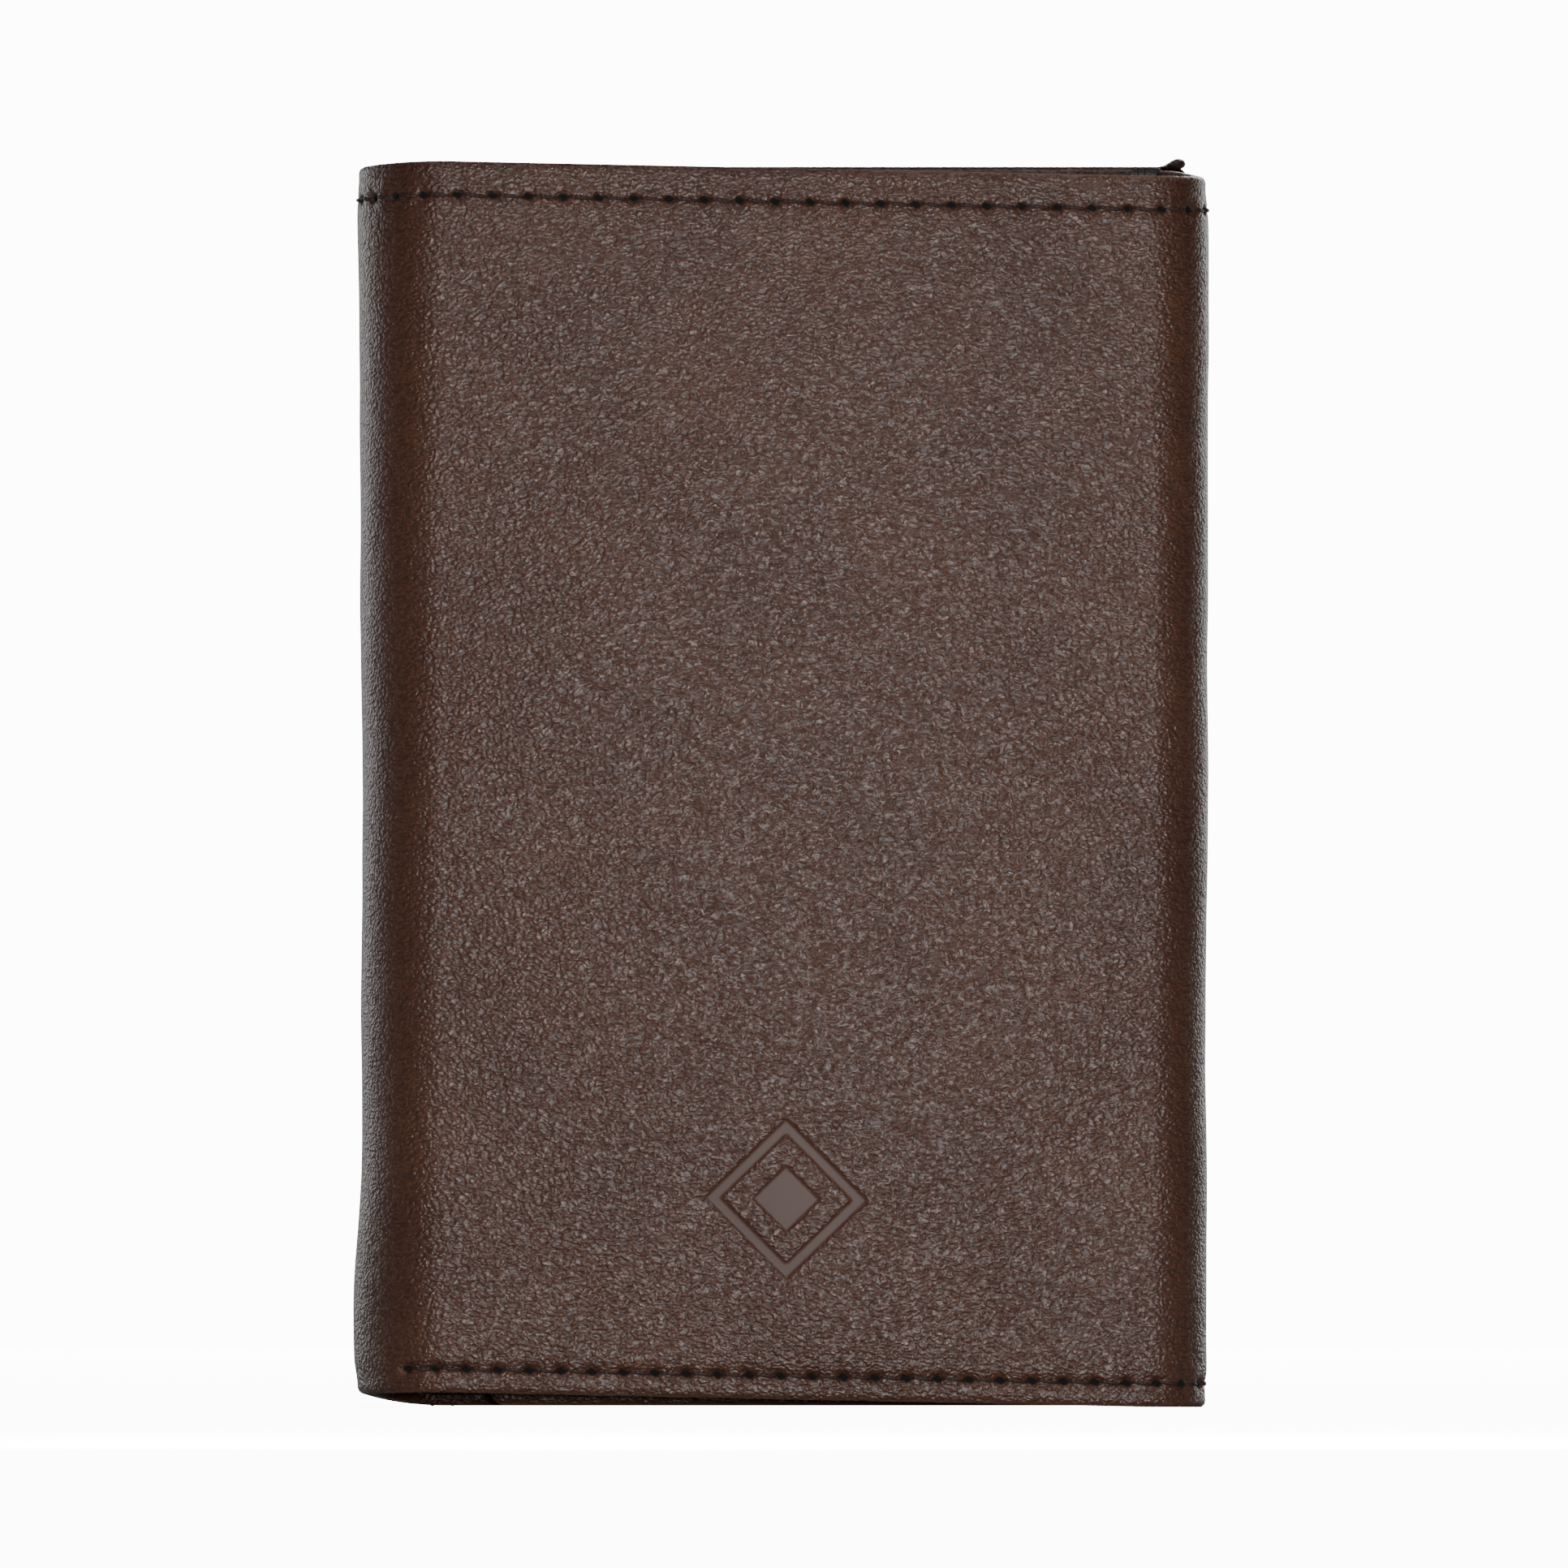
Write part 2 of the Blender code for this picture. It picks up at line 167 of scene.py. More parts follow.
def edge_drift(u, column):
    """Smooth blend of the edge drift from one named place to the next."""
    places = [row[0] for row in EDGE_DRIFT]
    values = [row[column] for row in EDGE_DRIFT]
    u = np.asarray(u, float)
    index = np.clip(np.searchsorted(places, u) - 1, 0, len(places) - 2)
    low = np.take(places, index)
    share = np.clip((u - low) / (np.take(places, index + 1) - low), 0.0, 1.0)
    straight = (np.take(places, index) >= wrap.left - 0.01) & (np.take(places, index) < wrap.right - 0.01)
    share = np.where(straight, share, share * share * (3 - 2 * share))
    return np.take(values, index) + share * (np.take(values, index + 1) - np.take(values, index))


def height_at(u, row):
    """Height above the floor of a row counted in an untilted panel of full height."""
    bottom = edge_drift(u, 2)
    top = HEIGHT + edge_drift(u, 1)
    return bottom + (top - bottom) * row / HEIGHT


def laid_length(start, end, depth):
    """Length in mm of a layer at a depth between two places of the strip."""
    x, y = wrap.place(np.linspace(start, end, 200), depth)
    return float(np.hypot(np.diff(x), np.diff(y)).sum())


def smooth(value, start, end):
    share = np.clip((value - start) / (end - start), 0.0, 1.0)
    return share * share * (3 - 2 * share)


# ------------------------------------------------------------------ seams
class Seam:
    """One line of stitches on the strip: level, at a row, or upright, at a place."""

    def __init__(self, level, at, first, last, phase, stitch=STITCH):
        self.level = level
        self.at = at
        self.stitch = stitch
        start = phase + math.ceil((first - phase) / stitch - 1e-6) * stitch
        self.holes = list(np.arange(start, last + 0.01, stitch))

    def offsets(self, u, row):
        """Distance along the seam to its nearest hole, distance across it, and how much it is there."""
        along, across = (u, row - self.at) if self.level else (row, u - self.at)
        first, last = self.holes[0], self.holes[-1]
        nearest = (along - first + self.stitch / 2) % self.stitch - self.stitch / 2
        inside = smooth(along, first - 0.8, first - 0.5) * (1 - smooth(along, last + 0.5, last + 0.8))
        return nearest, across, inside


top_seam = Seam(True, TOP_SEAM, wrap.flap_edge + SIDE_SEAM, wrap.tip - SIDE_SEAM, HOLE_AT)
bottom_seam = Seam(True, BOTTOM_SEAM, LOW_SEAM_START, wrap.tip - SIDE_SEAM, LOW_SEAM_START, LOW_STITCH)
flap_bottom_seam = Seam(True, BOTTOM_SEAM, wrap.flap_edge + SIDE_SEAM, wrap.flap + 1.0, HOLE_AT)
flap_side_seam = Seam(False, wrap.flap_edge + SIDE_SEAM, BOTTOM_SEAM, TOP_SEAM, BOTTOM_SEAM)
inner_side_seam = Seam(False, wrap.tip - SIDE_SEAM, BOTTOM_SEAM, TOP_SEAM, BOTTOM_SEAM)
SEAMS = (top_seam, bottom_seam, flap_bottom_seam, flap_side_seam, inner_side_seam)


def seam_marks(u, row):
    """How far the leather is drawn in by the seams, and how dark the needle holes are painted, a painted shade
    inside the holes.
    """
    drawn = np.zeros_like(u)
    hole_shade = np.zeros_like(u)
    for seam in SEAMS:
        along, across, inside = seam.offsets(u, row)
        channel = 0.08 * np.exp(-(across / 0.36) ** 2)
        dimple = 0.45 * np.exp(-(along / 0.46) ** 2 - (across / 0.38) ** 2)
        pull = 0.10 * np.exp(-(along / 0.95) ** 2 - (across / 1.15) ** 2)
        drawn += inside * (channel + dimple + pull)
        # Painted shade: the needle holes, and a short streak along the seam at each, are coloured dark for the
        # shade inside them
        slit = np.exp(-((along + across) / 0.42) ** 2 - ((along - across) / 0.62) ** 2)
        tail = 0.8 * np.exp(-(along / 0.72) ** 2 - (across / 0.20) ** 2)
        hole_shade = np.maximum(hole_shade, inside * np.maximum(slit, tail))
    return drawn, hole_shade


# ------------------------------------------------------------------ the pressed mark, a plain lozenge
MARK_U, MARK_ROW = 0.2, 18.0
MARK_HALF_WIDTH, MARK_HALF_HEIGHT = 7.2, 7.2
MARK_DEPTH = 0.20


def lozenge(u, row, scale):
    """Signed distance in mm, roughly, from the outline of a lozenge: negative inside."""
    across = np.abs(u - MARK_U) / (MARK_HALF_WIDTH * scale)
    upward = np.abs(row - MARK_ROW) / (MARK_HALF_HEIGHT * scale)
    return (across + upward - 1.0) * MARK_HALF_WIDTH * scale / math.sqrt(2.0)


def pressed_mark(u, row):
    """Where the die has pressed the leather: a lozenge line round a smaller solid lozenge."""
    line = smooth(-np.abs(lozenge(u, row, 0.90)), -0.66, -0.40)
    heart = smooth(-lozenge(u, row, 0.42), -0.13, 0.13)
    return np.maximum(line, heart)


# ------------------------------------------------------------------ soft unevenness of the leather
def swell(u, row):
    """Slow waves of the leather, from a few fixed sine waves."""
    waves = (
        (0.041, 0.023, 0.4, 0.10), (0.093, -0.071, 1.9, 0.055), (-0.127, 0.112, 0.8, 0.035),
        (0.21, 0.17, 2.6, 0.020), (-0.33, 0.26, 4.1, 0.012), (0.52, -0.41, 5.2, 0.007),
    )
    total = np.zeros_like(u)
    for along, upward, phase, size in waves:
        total += size * np.sin(along * u * 2 + upward * row * 2 + phase)
    return total


def crown(u, row):
    """The filled middle panel stands a little proud of its sewn edges."""
    across = np.clip((u - wrap.left) / (wrap.right - wrap.left), 0.0, 1.0)
    upward = np.clip(row / HEIGHT, 0.0, 1.0)
    return 1.4 * (4 * across * (1 - across)) * (4 * upward * (1 - upward)) ** 0.8


def fold_bulge(u, row):
    """The outer fold swells towards its foot and a little at its head."""
    on_fold = np.exp(-((u - wrap.outer_apex) / 7.0) ** 2)
    return on_fold * (0.75 * np.exp(-((row - 7.0) / 9.0) ** 2) + 0.35 * np.exp(-((row - HEIGHT) / 12.0) ** 2))


def edge_wear_and_highlight_share(u, row):
    """How pale the cut edges are made, partly dye rubbed off and partly a painted highlight along them: most along
    the top edges near the inner fold and on the inner panel, less along the foot.
    """
    corner = 1 - smooth(u, wrap.flap_edge + 1.5, wrap.flap_edge + 5.0)
    on_top = 0.12 + 0.88 * np.maximum(smooth(u, -10.0, 24.0), corner)
    at_foot = 0.35 + 0.25 * smooth(u, wrap.inner_apex, wrap.tip)
    return np.where(row > HEIGHT / 2, on_top, at_foot)


def edge_press(u, row):
    """Turned edges are hammered thinner than the leather inside the seam."""
    edge = np.minimum(row, HEIGHT - row)
    return 0.16 * (1 - smooth(edge, 1.2, 3.4))


# ------------------------------------------------------------------ mesh making
def spaced(start, end, step):
    count = max(2, int(round(abs(end - start) / step)) + 1)
    return list(np.linspace(start, end, count))


def graded_rows(fine_bands, coarse=1.6):
    """Rows from edge to edge, closely spaced inside the bands given as (from, to, step)."""
    rows = []
    position = 0.0
    for low, high, step in sorted(fine_bands):
        if low > position:
            rows += spaced(position, low, coarse)[:-1]
        rows += spaced(max(low, position), high, step)[:-1]
        position = high
    rows += spaced(position, HEIGHT, coarse)
    return np.array(rows)


def new_object(name, vertices, faces):
    mesh = bpy.data.meshes.new(name)
    mesh.from_pydata([tuple(v) for v in vertices], [], faces)
    mesh.validate()
    obj = bpy.data.objects.new(name, mesh)
    bpy.context.scene.collection.objects.link(obj)
    return obj


def tidy_mesh(obj, sharp_degrees=55.0):
    shape = bmesh.new()
    shape.from_mesh(obj.data)
    bmesh.ops.recalc_face_normals(shape, faces=shape.faces)
    shape.to_mesh(obj.data)
    shape.free()
    obj.data.shade_smooth()
    obj.data.set_sharp_from_angle(angle=math.radians(sharp_degrees))


def set_grain_map(obj, flat):
    """Lay the pattern map: one unit of the map is 100 mm of the leather laid out flat."""
    layer = obj.data.uv_layers.new(name="grain")
    index = np.zeros(len(obj.data.loops), dtype=np.int32)
    obj.data.loops.foreach_get("vertex_index", index)
    layer.data.foreach_set("uv", (np.asarray(flat)[index] / 100.0).astype(np.float32).ravel())


def set_mark(obj, name, values):
    attribute = obj.data.attributes.new(name, "FLOAT", "POINT")
    attribute.data.foreach_set("value", np.asarray(values, dtype=np.float32).ravel())


ROUND_STEPS = 5


def strip_solid(name, u_from, u_to, rows, depth, thickness, top=None, bottom=None, relief=None,
                round_end=None, corner=0.0, step=0.3, fine=None, drift=True):
    """A closed sheet on the strip. rows run from edge to edge over the full height and are scaled into
    the sheet's own bottom and top. round_end is the u of a free edge, whose corners are rounded. fine is
    a stretch with its own closer step."""
    places = spaced(u_from, u_to, step)
    if fine is not None:
        places = [u for u in places if not fine[0] <= u <= fine[1]] + spaced(*fine)
        places.sort()
    if round_end is not None:
        sign = 1 if round_end > (u_from + u_to) / 2 else -1
        reach = max(corner, thickness) + 0.2
        places = [u for u in places if abs(u - round_end) > reach]
        near = [reach * (1 - math.cos(k * math.pi / 2 / 14)) for k in range(14, -1, -1)]
        near = [round_end - sign * max(distance, 0.02) for distance in near]
        places = sorted(set(places + near))
    places = np.array(places)
    half = thickness / 2
    top = (lambda u: np.full_like(u, HEIGHT)) if top is None else top
    bottom = (lambda u: np.zeros_like(u)) if bottom is None else bottom
    low, high = bottom(places), top(places)
    shrink = np.ones_like(places)
    if round_end is not None:
        free = np.abs(places - round_end)
        inset = corner - np.sqrt(np.maximum(corner ** 2 - np.maximum(corner - free, 0.0) ** 2, 0.0))
        low, high = low + inset, high - inset
        shrink = np.where(free < half, np.sqrt(np.maximum(half ** 2 - (half - free) ** 2, 0.0)) / half, 1.0)
    inner_rows = rows[::max(1, len(rows) // 24)]
    if inner_rows[-1] != rows[-1]:
        inner_rows = np.append(inner_rows, rows[-1])
    # Loop of (share of height, extra height, depth share) once round the sheet.
    turn = [k * math.pi / ROUND_STEPS for k in range(1, ROUND_STEPS)]
    share = list(rows / HEIGHT) + [1.0] * len(turn) + list(inner_rows[::-1] / HEIGHT) + [0.0] * len(turn)
    extra = [0.0] * len(rows) + [half * math.sin(a) for a in turn] + [0.0] * len(inner_rows)
    extra += [-half * math.sin(a) for a in turn]
    across = [0.0] * len(rows) + [(1 - math.cos(a)) / 2 for a in turn] + [1.0] * len(inner_rows)
    across += [(1 + math.cos(a)) / 2 for a in turn]
    share, extra, across = np.array(share), np.array(extra), np.array(across)
    grid_u = places[:, None] + np.zeros_like(share)[None, :]
    span = (high - low)[:, None]
    row = low[:, None] + half * shrink[:, None] + (span - thickness * shrink[:, None]) * share[None, :]
    row = row + extra[None, :] * shrink[:, None]
    outward = np.zeros_like(grid_u)
    if relief is not None:
        outward = relief(grid_u, row) * (1 - across)[None, :] * shrink[:, None]
    through = half + (across[None, :] - 0.5) * thickness * shrink[:, None]
    x, y = wrap.place(grid_u, depth + through - outward)
    z = height_at(grid_u, row) if drift else row
    points = np.stack([x, y, z], -1).reshape(-1, 3) * MM
    count, loop = grid_u.shape
    faces = []
    for i in range(count - 1):
        for j in range(loop):
            k = (j + 1) % loop
            faces.append((i * loop + j, i * loop + k, (i + 1) * loop + k, (i + 1) * loop + j))
    faces.append(tuple(range(loop)))
    faces.append(tuple((count - 1) * loop + j for j in range(loop)))
    obj = new_object(name, points, faces)
    tidy_mesh(obj)
    set_grain_map(obj, np.stack([grid_u, row], -1).reshape(-1, 2))
    # Painted shade of the needle holes, on the outer face only
    hole_shade = seam_marks(grid_u, row)[1] * (across[None, :] < 0.01)
    set_mark(obj, "needle_hole_shade", hole_shade if relief is not None else np.zeros_like(hole_shade))
    # Painted highlight and wear: colour made paler close to the cut edges, partly rubbed dye and partly a painted
    # highlight
    edge_wear_and_highlight = np.clip(1.2 - np.minimum(row - low[:, None], high[:, None] - row) / 0.24, 0, 1)
    if round_end is not None:
        edge_wear_and_highlight = np.maximum(edge_wear_and_highlight, np.clip(1.2 - np.abs(grid_u - round_end) / 0.24, 0, 1))
    set_mark(obj, "edge_wear_and_highlight", edge_wear_and_highlight * edge_wear_and_highlight_share(grid_u, row))
    pressed = pressed_mark(grid_u, row) * (across[None, :] < 0.01)
    set_mark(obj, "pressed", pressed if relief is not None else np.zeros_like(pressed))
    return obj


def tube(path_list, radius, sides=8):
    """Vertices, faces and pattern places of round threads, one closed tube for each path."""
    vertices, faces, flat = [], [], []
    for path in path_list:
        path = np.asarray(path, float)
        tangent = np.gradient(path, axis=0)
        tangent /= np.linalg.norm(tangent, axis=1)[:, None]
        guide = np.array([0.0, 0.0, 1.0]) if abs(tangent[:, 2]).max() < 0.9 else np.array([0.0, 1.0, 0.0])
        side = np.cross(tangent, guide)
        side /= np.linalg.norm(side, axis=1)[:, None]
        other = np.cross(side, tangent)
        travel = np.concatenate([[0.0], np.cumsum(np.linalg.norm(np.diff(path, axis=0), axis=1))])
        base = len(vertices)
        for i, centre in enumerate(path):
            thin = 0.55 if i in (0, len(path) - 1) else 1.0
            for k in range(sides):
                angle = 2 * math.pi * k / sides
                offset = side[i] * math.cos(angle) + other[i] * math.sin(angle)
                vertices.append(centre + offset * radius * thin)
                flat.append((travel[i], 2 * math.pi * radius * k / sides))
        for i in range(len(path) - 1):
            for k in range(sides):
                n = (k + 1) % sides
                first, second = base + i * sides, base + (i + 1) * sides
                faces.append((first + k, first + n, second + n, second + k))
        faces.append(tuple(base + k for k in range(sides)))
        faces.append(tuple(base + (len(path) - 1) * sides + k for k in range(sides)))
    return vertices, faces, flat


def thread_object(name, path_list, radius=THREAD):
    vertices, faces, flat = tube(path_list, radius)
    obj = new_object(name, np.array(vertices) * MM, faces)
    tidy_mesh(obj)
    set_grain_map(obj, flat)
    give(obj, MATERIALS["waxed_thread"])
    return obj


def outer_surface(u, row):
    """Depth of the finished outer face at a place, before any stitch lies on it."""
    return -leather_relief(np.asarray(u, float), np.asarray(row, float))


def stitch_path(seam, start, offset=0.0, lift=0.07, inside=None):
    """One stitch that dives into the hole at each of its ends. inside gives the depth of the inner face
    for a stitch on that side."""
    points = []
    for t in np.linspace(0.0, 1.0, 9):
        along = start + seam.stitch * (0.06 + 0.88 * t)
        aside = seam.at + offset + STITCH_SLANT * (1 - 2 * t)
        u, row = (along, aside) if seam.level else (aside, along)
        dive = 0.55 * (1 - math.sin(math.pi * t) ** 0.45)
        depth = outer_surface(u, row) - lift + dive
        if inside is not None:
            depth = inside(u, row) + lift - 0.5 * dive
        x, y = wrap.place(u, depth)
        points.append((float(x), float(y), float(height_at(u, row))))
    return points


def leather_relief(u, row):
    """Everything that raises or lowers the outer face of the leather."""
    drawn, _ = seam_marks(u, row)
    return (crown(u, row) + fold_bulge(u, row) + swell(u, row) * smooth(np.minimum(row, HEIGHT - row), 0.5, 6.0)
            - drawn - MARK_DEPTH * pressed_mark(u, row) - edge_press(u, row))


# ------------------------------------------------------------------ materials
def linear(hex_colour):
    """An sRGB hex colour as linear red, green, blue and alpha."""
    channels = [int(hex_colour[i:i + 2], 16) / 255 for i in (1, 3, 5)]
    return tuple(c / 12.92 if c <= 0.04045 else ((c + 0.055) / 1.055) ** 2.4 for c in channels) + (1.0,)


def node(tree, kind, inputs=None, **settings):
    """Add a node with its settings, and with a value or a link for each input named."""
    made = tree.nodes.new(kind)
    for key, value in settings.items():
        setattr(made, key, value)
    for socket, value in (inputs or {}).items():
        if isinstance(value, bpy.types.NodeSocket):
            tree.links.new(value, made.inputs[socket])
        else:
            made.inputs[socket].default_value = value
    return made


def new_material(name):
    material = bpy.data.materials.new(name)
    material.use_nodes = True
    tree = material.node_tree
    return material, tree, tree.nodes["Principled BSDF"]


def millimetres(tree):
    """Pattern places in millimetres of the piece laid out flat."""
    places = node(tree, "ShaderNodeUVMap", uv_map="grain")
    return node(tree, "ShaderNodeVectorMath", {0: places.outputs[0], "Scale": 100.0},
                operation="SCALE").outputs[0]


def link(tree, output, target):
    tree.links.new(output, target)


def make_leather(name, dark, light, hole_shade_colour, rough, edge_wear_and_highlight_colour):
    """Smooth-grained leather, drum dyed and finished with a thin wax coat: a fine pebble under a soft shine,
    cloudy colour, painted shade between the pebbles with painted highlight on them, paler edges that are partly
    rubbed dye and partly a painted highlight, and painted shade in the needle holes."""
    material, tree, shader = new_material(name)
    place = millimetres(tree)
    # Pores and pebbles of cowhide, 0.45 mm apart and a little longer along the back of the hide
    warp = node(tree, "ShaderNodeTexNoise", {"Vector": place, "Scale": 0.9, "Detail": 2.0})
    bent = node(tree, "ShaderNodeVectorMath", {0: warp.outputs["Color"], "Scale": 0.7}, operation="SCALE")
    moved = node(tree, "ShaderNodeVectorMath", {0: place, 1: bent.outputs[0]}, operation="ADD").outputs[0]
    drawn = node(tree, "ShaderNodeMapping", {"Vector": moved, "Scale": (0.8, 1.15, 1.0)}).outputs[0]
    pebble = node(tree, "ShaderNodeTexVoronoi", {"Vector": drawn, "Scale": 3.0, "Smoothness": 0.35,
                                                 "Randomness": 1.0}, feature="SMOOTH_F1")
    fine = node(tree, "ShaderNodeTexNoise", {"Vector": drawn, "Scale": 3.8, "Detail": 0.0})
    grain = node(tree, "ShaderNodeMath", {0: pebble.outputs["Distance"], 1: -1.1,
                                          2: fine.outputs["Fac"]}, operation="MULTIPLY_ADD")
    # Creases 1 to 2 mm apart, only in patches
    stretched = node(tree, "ShaderNodeMapping", {"Vector": moved, "Rotation": (0.0, 0.0, 0.5),
                                                 "Scale": (0.16, 0.75, 1.0)})
    crease = node(tree, "ShaderNodeTexNoise", {"Vector": stretched.outputs[0], "Scale": 1.0, "Detail": 2.0,
                                               "Roughness": 0.5, "Distortion": 0.8})
    ridge = node(tree, "ShaderNodeMapRange", {"Value": crease.outputs["Fac"], "From Min": 0.47,
                                              "From Max": 0.53, "To Min": 0.0, "To Max": 1.0})
    patch = node(tree, "ShaderNodeTexNoise", {"Vector": place, "Scale": 0.055, "Detail": 1.0})
    where = node(tree, "ShaderNodeMapRange", {"Value": patch.outputs["Fac"], "From Min": 0.52,
                                              "From Max": 0.68, "To Min": 0.0, "To Max": 0.35})
    creased = node(tree, "ShaderNodeMath", {0: ridge.outputs[0], 1: where.outputs[0], 2: grain.outputs[0]},
                   operation="MULTIPLY_ADD")
    # The die has flattened the grain where it pressed
    pressed = node(tree, "ShaderNodeAttribute", attribute_name="pressed")
    left = node(tree, "ShaderNodeMapRange", {"Value": pressed.outputs["Fac"], "To Min": 1.0, "To Max": 0.03})
    relief = node(tree, "ShaderNodeMath", {0: creased.outputs[0], 1: left.outputs[0]}, operation="MULTIPLY")
    bump = node(tree, "ShaderNodeBump", {"Height": relief.outputs[0], "Strength": 1.0,
                                         "Distance": 0.00010})
    link(tree, bump.outputs[0], shader.inputs["Normal"])
    # Dye takes unevenly over 8 to 20 mm, and in specks of about 1 mm
    cloud = node(tree, "ShaderNodeTexNoise", {"Vector": place, "Scale": 0.075, "Detail": 3.0,
                                              "Roughness": 0.55})
    speck = node(tree, "ShaderNodeTexNoise", {"Vector": moved, "Scale": 0.9, "Detail": 3.0})
    mottle = node(tree, "ShaderNodeMath", {0: speck.outputs["Fac"], 1: 0.2, 2: cloud.outputs["Fac"]},
                  operation="MULTIPLY_ADD")
    shade = node(tree, "ShaderNodeMapRange", {"Value": mottle.outputs[0], "From Min": 0.38, "From Max": 0.82})
    dye_and_pebble_shade = node(tree, "ShaderNodeMix", {"Factor": shade.outputs[0], 6: linear(dark), 7: linear(light)},
                data_type="RGBA")
    # Painted shade and highlight of the pebble relief: colour darker between the pebbles and lighter on their
    # tops, and the finish duller between them
    pebble_shade = node(tree, "ShaderNodeMapRange", {"Value": grain.outputs[0], "From Min": -0.42, "From Max": 0.30,
                                            "To Min": 0.66, "To Max": 1.22})
    pressed_pebble_shade = node(tree, "ShaderNodeMix", {"Factor": pressed.outputs["Fac"], 2: pebble_shade.outputs[0], 3: 0.88})
    dye_and_pebble_shade = node(tree, "ShaderNodeVectorMath", {0: dye_and_pebble_shade.outputs[2], "Scale": pressed_pebble_shade.outputs[0]},
                operation="SCALE")
    # Paler edges: partly rubbed dye, partly a painted highlight along the edges
    edge_wear_and_highlight = node(tree, "ShaderNodeAttribute", attribute_name="edge_wear_and_highlight")
    worn_and_highlit = node(tree, "ShaderNodeMix", {"Factor": edge_wear_and_highlight.outputs["Fac"], 6: dye_and_pebble_shade.outputs[0], 7: linear(edge_wear_and_highlight_colour)},
                data_type="RGBA")
    # Painted shade: the needle holes are coloured near black and made fully rough
    hole_shade = node(tree, "ShaderNodeAttribute", attribute_name="needle_hole_shade")
    hole_shade_mask = node(tree, "ShaderNodeMapRange", {"Value": hole_shade.outputs["Fac"], "From Min": 0.22, "From Max": 0.52})
    final = node(tree, "ShaderNodeMix", {"Factor": hole_shade_mask.outputs[0], 6: worn_and_highlit.outputs[2], 7: linear(hole_shade_colour)},
                 data_type="RGBA")
    link(tree, final.outputs[2], shader.inputs["Base Color"])
    gloss = node(tree, "ShaderNodeMapRange", {"Value": grain.outputs[0], "From Min": -0.42, "From Max": 0.20,
                                              "To Min": rough + 0.06, "To Max": rough - 0.02})
    gloss = node(tree, "ShaderNodeMix", {"Factor": pressed.outputs["Fac"], 2: gloss.outputs[0], 3: 0.55})
    dulled = node(tree, "ShaderNodeMix", {"Factor": hole_shade_mask.outputs[0], 2: gloss.outputs[0], 3: 1.0})
    link(tree, dulled.outputs[0], shader.inputs["Roughness"])
    shader.inputs["IOR"].default_value = 1.5
    return material


def make_twill():
    """Polyester twill, woven 0.35 mm to the rib and calendered: a dull dark cloth with slanting ribs."""
    material, tree, shader = new_material("polyester_twill")
    place = millimetres(tree)
    turned = node(tree, "ShaderNodeMapping", {"Vector": place, "Rotation": (0.0, 0.0, math.radians(58))})
    rib = node(tree, "ShaderNodeTexWave", {"Vector": turned.outputs[0], "Scale": 0.45, "Distortion": 0.4,
                                           "Detail": 1.0})
    yarn = node(tree, "ShaderNodeTexNoise", {"Vector": place, "Scale": 2.5, "Detail": 2.0})
    weave = node(tree, "ShaderNodeMix", {"Factor": 0.3, 2: rib.outputs["Fac"], 3: yarn.outputs["Fac"]})
    colour = node(tree, "ShaderNodeMix", {"Factor": weave.outputs[0], 6: linear("#15110F"),
                                          7: linear("#3A302B")}, data_type="RGBA")
    link(tree, colour.outputs[2], shader.inputs["Base Color"])
    bump = node(tree, "ShaderNodeBump", {"Height": weave.outputs[0], "Strength": 0.6, "Distance": 0.00008})
    link(tree, bump.outputs[0], shader.inputs["Normal"])
    shader.inputs["Roughness"].default_value = 0.82
    shader.inputs["Sheen Weight"].default_value = 0.15
    return material


def make_thread():
    """Bonded polyester thread, three plies twisted at 0.5 mm and waxed: dark red-brown with a small shine."""
    material, tree, shader = new_material("bonded_polyester_thread")
    place = millimetres(tree)
    turned = node(tree, "ShaderNodeMapping", {"Vector": place, "Rotation": (0.0, 0.0, math.radians(35))})
    ply = node(tree, "ShaderNodeTexWave", {"Vector": turned.outputs[0], "Scale": 0.9, "Distortion": 0.2})
    colour = node(tree, "ShaderNodeMix", {"Factor": ply.outputs["Fac"], 6: linear("#1E100C"),
                                          7: linear("#3E251C")}, data_type="RGBA")
    link(tree, colour.outputs[2], shader.inputs["Base Color"])
    bump = node(tree, "ShaderNodeBump", {"Height": ply.outputs["Fac"], "Strength": 0.8, "Distance": 0.00005})
    link(tree, bump.outputs[0], shader.inputs["Normal"])
    shader.inputs["Roughness"].default_value = 0.6
    return material


def make_board():
    """Pressed fibre board: a dull grey-brown sheet with short fibres."""
    material, tree, shader = new_material("fibre_board")
    place = node(tree, "ShaderNodeTexCoord").outputs["Object"]
    fibre = node(tree, "ShaderNodeTexNoise", {"Vector": place, "Scale": 1800.0, "Detail": 4.0})
    colour = node(tree, "ShaderNodeMix", {"Factor": fibre.outputs["Fac"], 6: linear("#7A6C5A"),
                                          7: linear("#A89A84")}, data_type="RGBA")
    link(tree, colour.outputs[2], shader.inputs["Base Color"])
    bump = node(tree, "ShaderNodeBump", {"Height": fibre.outputs["Fac"], "Strength": 0.4, "Distance": 0.00005})
    link(tree, bump.outputs[0], shader.inputs["Normal"])
    shader.inputs["Roughness"].default_value = 0.9
    return material


